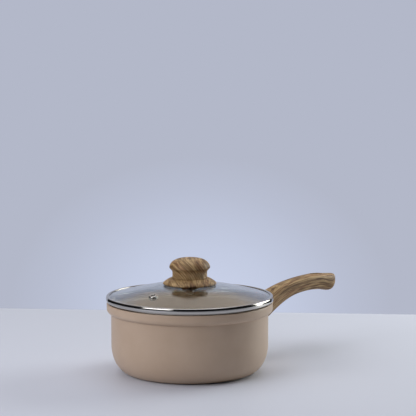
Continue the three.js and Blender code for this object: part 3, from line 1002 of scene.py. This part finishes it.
def knob_grip():
    dome_points = [
        (22.55, 117.3),
        (22.2, 118.9),
        (21.2, 120.7),
        (19.5, 122.7),
        (17.2, 124.3),
        (14.2, 125.6),
        (10, 126.6),
        (5, 127.0),
        (0, KNOB_TOP),
    ]
    outline = [
        (0, INSERT_TOP + 0.3),
        (SOCKET, INSERT_TOP + 0.3),
        (SOCKET, KNOB_SEAM + 0.3),
        (19.2, KNOB_SEAM + 0.3),
        *bend((19.3, KNOB_SEAM + 0.3), (19.5, KNOB_SEAM + 0.35), (19.4, KNOB_SEAM + 0.6), 3),
        *bend((19.3, KNOB_SEAM + 1.2), (19.15, 108), (19.25, 110.8), 6),
        *bend((19.3, 111.3), (19.5, 112.9), (20.6, 113.9), 6),
        *bend((22.0, 115.3), (22.8, 116.0), (22.6, 117.0), 5),
        *through(dome_points, 4),
    ]
    return turned(outline, KNOB_STEPS)


def knob_skirt():
    flare = [
        (28.6, 97.75),
        (29.3, 98.0),
        (29.6, 98.7),
        (29.1, 99.8),
        (27.0, 101.5),
        (24.0, 103.4),
        (21.6, 104.45),
        (19.9, KNOB_SEAM - 0.15),
    ]
    outline = [
        (SOCKET, 98.8),
        (14, 98.8),
        (15.2, 101.8),
        (21.5, 101.8),
        *bend((23, 101.6), (26.0, 100.2), (26.6, 98.9), 6),
        (27.2, 97.9),
        *through(flare, 4),
        (19.5, KNOB_SEAM),
        (SOCKET, KNOB_SEAM),
    ]
    return turned(outline, KNOB_STEPS)


# %% [markdown]
# The printed grain curls round a pith line low on the left, so it runs flat on the left of the skirt and
# steep on the right of the cap, and the joint shows as a fine line. Concentric rings are what a knob cut
# from a real branch would show, and an angle and a distance from the pith give them.

# %% Grain of the knob
PITH = (-29, 91)
RING_LENGTH = 40
RING_SQUEEZE = 0.75
THROUGH_SQUEEZE = 0.12


def ring_grain(point):
    """The grain runs round the pith line, which goes straight away from the camera."""
    right = point.dot(RIGHT) - PITH[0] * MM
    up = point.z - PITH[1] * MM
    along = math.atan2(up, right) * RING_LENGTH * MM
    return (along, math.hypot(right, up) * RING_SQUEEZE, point.dot(FORWARD) * THROUGH_SQUEEZE)


for moulding, name, node in (
    (knob_grip(), "knob_cap", "knob_grip"),
    (knob_skirt(), "knob_foot", "knob_skirt"),
):
    carry_grain(moulding, ring_grain)
    hand_over(moulding, name, node, "lid", WOOD_LOOK, smooth=40)

# %% [markdown]
# ## Soft washers and the clamp washer
#
# No metal may touch the glass, so the knob bears on a silicone washer from above, and a grommet with a
# collar lines the hole from below. A wide steel washer spreads the screw's pull. The two flat ones could
# be plain cylinders with holes, but their rounded edges come free from the function that made the vent's
# ring. Only the grommet, with its collar, needs an outline of its own.


# %% Soft washers and the clamp washer
def glass_grommet():
    low, shoulder = 92.2, 93.3
    outline = [
        (2.8, low),
        *bend((8.6, low), (9, low), (9, low + 0.4), 3),
        *bend((9, shoulder - 0.4), (9, shoulder), (8.6, shoulder), 3),
        (4.2, shoulder),
        (4.2, DOME_TOP),
        (2.8, DOME_TOP),
    ]
    return turned(outline, 48)


GASKET_LOW, GASKET_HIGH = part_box("knob_gasket")
gasket = flat_ring(2.8, 13, GASKET_LOW.z / MM, GASKET_HIGH.z / MM, 0.3, 64)
hand_over(gasket, "knob_soft_washer", "knob_gasket", "lid", GREY_SILICONE)
hand_over(glass_grommet(), "glass_hole_grommet", "glass_grommet", "lid", GREY_SILICONE)
clamp = flat_ring(2.8, 8.5, 90.9, 91.9, 0.2, 48)
hand_over(clamp, "knob_clamp_washer", "clamp_washer", "lid", SCREW_STEEL)

# %% [markdown]
# ## Pieces kept from the frame
#
# The bracket, the brass insert and the handle's spring washer are out of sight and already the right
# shape, so they only get their real finish.

# %% Pieces kept from the frame
for node, finish in (
    ("handle_bracket", CAST_ALUMINIUM),
    ("knob_insert", BRASS),
    ("handle_washer", SPRING_STEEL),
):
    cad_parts[node].data.materials.clear()
    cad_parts[node].data.materials.append(finish)
    print(node, "is", finish.name)

# %% [markdown]
# ## Table and backdrop
#
# A pale table top that ends a little behind the pan, and a cool backdrop some way behind it with a painted
# pool of light low down. A curved sweep would hide the table's edge, and here the edge should show. The
# backdrop glows by itself, so its tone doesn't change with the lights on the pan, and the pool is painted
# into that glow. Above the view it turns warm, which the glass and the steel mirror. Both are staging and
# not part of the object.


# %% Table
def stage_sheet(name, centre, yaw, tilt, width, depth, material):
    deselect()
    bpy.ops.mesh.primitive_plane_add(size=1, location=centre, rotation=(tilt, 0, yaw))
    sheet = bpy.context.object
    sheet.name = name
    sheet.scale = (width, depth, 1)
    bpy.ops.object.transform_apply(location=False, rotation=False, scale=True)
    sheet.data.materials.append(material)


TABLE_WIDTH = 4
TABLE_DEPTH = 2.2
TABLE_EDGE = 0.378
TABLE_TURN = math.radians(5.7)
ROOM_YAW = math.atan2(RIGHT.y, RIGHT.x)
TABLE_YAW = ROOM_YAW - TABLE_TURN
table_paint = new_finish("table_paint", Base_Color=colour("#D6D9E3"), Roughness=0.5)[0]
table_away = Vector((-math.sin(TABLE_YAW), math.cos(TABLE_YAW), 0))
table_centre = spot(0, TABLE_EDGE, 0) - table_away * (TABLE_DEPTH / 2)
stage_sheet("table", table_centre, TABLE_YAW, 0, TABLE_WIDTH, TABLE_DEPTH, table_paint)
print("the table ends", TABLE_EDGE, "m behind the middle of the pan")

# %% Backdrop
BACKDROP_AWAY = 2.2
BACKDROP_WIDTH = 2.6
BACKDROP_HEIGHT = 3.2
BACKDROP_FOOT = -0.6
BACKDROP_MIDDLE = BACKDROP_FOOT + BACKDROP_HEIGHT / 2
WALL_FROM = (0.8, 1.4)
# The pool is painted light: the backdrop's own glow is brighter and bluer there, where a lamp's pool would
# fall.
POOL_CENTRE = (0.03, -0.32)
POOL_RADIUS = (0.52, 0.42)


def glowing_backdrop_with_painted_pool():
    """Backdrop paper that glows by itself, with a painted pool of light low in the middle and a warm wall
    above it.
    """
    material = bpy.data.materials.new("painted_pool_backdrop_glow")
    material.use_nodes = True
    tree = material.node_tree
    tree.nodes.clear()
    place_on = add(tree, "ShaderNodeTexCoord").outputs["Object"]
    (across, up), (wide, tall) = POOL_CENTRE, POOL_RADIUS
    pool = add(
        tree,
        "ShaderNodeMapping",
        {
            "Vector": place_on,
            "Location": (-across / wide, (BACKDROP_MIDDLE - up) / tall, 0),
            "Scale": (1 / wide, 1 / tall, 1),
        },
    )
    glow = add(tree, "ShaderNodeTexGradient", {"Vector": pool.outputs["Vector"]}, gradient_type="SPHERICAL")
    # Painted pool of light: the glow's colour brightens towards the middle of the pool.
    tone = add(
        tree,
        "ShaderNodeValToRGB",
        {"Fac": glow.outputs["Fac"]},
        stops=[(0.02, "#B3B8C9"), (0.25, "#B8BED1"), (0.6, "#C3CBE1"), (0.95, "#CBD3EA")],
    )
    height = add(tree, "ShaderNodeSeparateXYZ", {"Vector": place_on}).outputs["Y"]
    warm_from, warm_to = (edge - BACKDROP_MIDDLE for edge in WALL_FROM)
    above = add(
        tree,
        "ShaderNodeMapRange",
        {"Value": height, "From Min": warm_from, "From Max": warm_to},
    )
    inputs = {"Factor": above.outputs["Result"], "A": tone.outputs["Color"], "B": colour("#E0D5CB")}
    wall = add(tree, "ShaderNodeMix", inputs, data_type="RGBA")
    shine = add(tree, "ShaderNodeEmission", {"Color": wall.outputs["Result"], "Strength": 1.0})
    add(tree, "ShaderNodeOutputMaterial", {"Surface": shine.outputs["Emission"]})
    return material


stage_sheet(
    "backdrop",
    spot(0, BACKDROP_AWAY, BACKDROP_MIDDLE),
    ROOM_YAW,
    math.pi / 2,
    BACKDROP_WIDTH,
    BACKDROP_HEIGHT,
    glowing_backdrop_with_painted_pool(),
)
print("the backdrop stands", BACKDROP_AWAY, "m behind the middle of the pan")

# %% [markdown]
# ## Light
#
# A broad soft light on the left models the bowl, and a long one in front of it puts the white streak on
# the steel. On the right a stronger one behind draws the bright edge and a small one low down keeps the
# wall beside it from going dark. A weak one overhead fills the table. The camera's side of the room stays
# dark, which puts the black lines into the polished steel. A room lit by a sky texture would be simpler,
# but polished steel and glass need edges of light and dark to mirror. The broad left light is kept out of
# reflections, so that the steel stays black there too.


# %% Light
MIDDLE = Vector((0, 0, 0.05))


def softbox(name, where, width, height, power, tone):
    """A soft rectangular light that looks at the middle of the pan."""
    light = bpy.data.lights.new(name, "AREA")
    light.shape = "RECTANGLE"
    light.size = width
    light.size_y = height
    light.energy = power
    light.color = colour(tone)[:3]
    box = bpy.data.objects.new(name, light)
    box.location = where
    box.rotation_euler = (MIDDLE - where).to_track_quat("-Z", "Y").to_euler()
    bpy.context.collection.objects.link(box)
    print(f"{name}: {power} W, radiance {power / (math.pi * width * height):.2f}")
    return box


side_light = softbox("left_softbox", spot(-1.3, -0.35, 0.75), 1.5, 1.5, 7, "#F8F9FF")
side_light.visible_glossy = False
softbox("left_front_softbox", spot(-1.1, -1.0, 1.0), 1.2, 0.6, 10.5, "#F8F9FF")
softbox("right_back_softbox", spot(1.15, 0.8, 0.6), 0.8, 0.85, 12, "#F9FDFA")
softbox("right_low_softbox", spot(1.2, 0.35, 0.2), 0.3, 0.6, 2.0, "#F9FDFA")
softbox("overhead_softbox", spot(0, 0.2, 1.6), 1.6, 1.6, 12, "#F6F8FF")

# %% [markdown]
# The room around is nearly black, so that the softboxes alone shape the pan. Where the camera looks past
# the backdrop, it sees the backdrop's own grey instead, or the picture would have a black edge.

# %% The room
ROOM_TONE = colour("#B4B9CA")
ROOM_GLOW = 0.02

world = bpy.data.worlds.new("studio")
bpy.context.scene.world = world
world.use_nodes = True
room = world.node_tree
room.nodes.clear()
seen = add(room, "ShaderNodeLightPath").outputs["Is Camera Ray"]
far = add(room, "ShaderNodeBackground", {"Color": ROOM_TONE, "Strength": 1.0})
dim = add(room, "ShaderNodeBackground", {"Color": ROOM_TONE, "Strength": ROOM_GLOW})
both = add(
    room,
    "ShaderNodeMixShader",
    {"Fac": seen, 1: dim.outputs["Background"], 2: far.outputs["Background"]},
)
add(room, "ShaderNodeOutputWorld", {"Surface": both.outputs["Shader"]})
print("lights in the room:", len(bpy.data.lights))
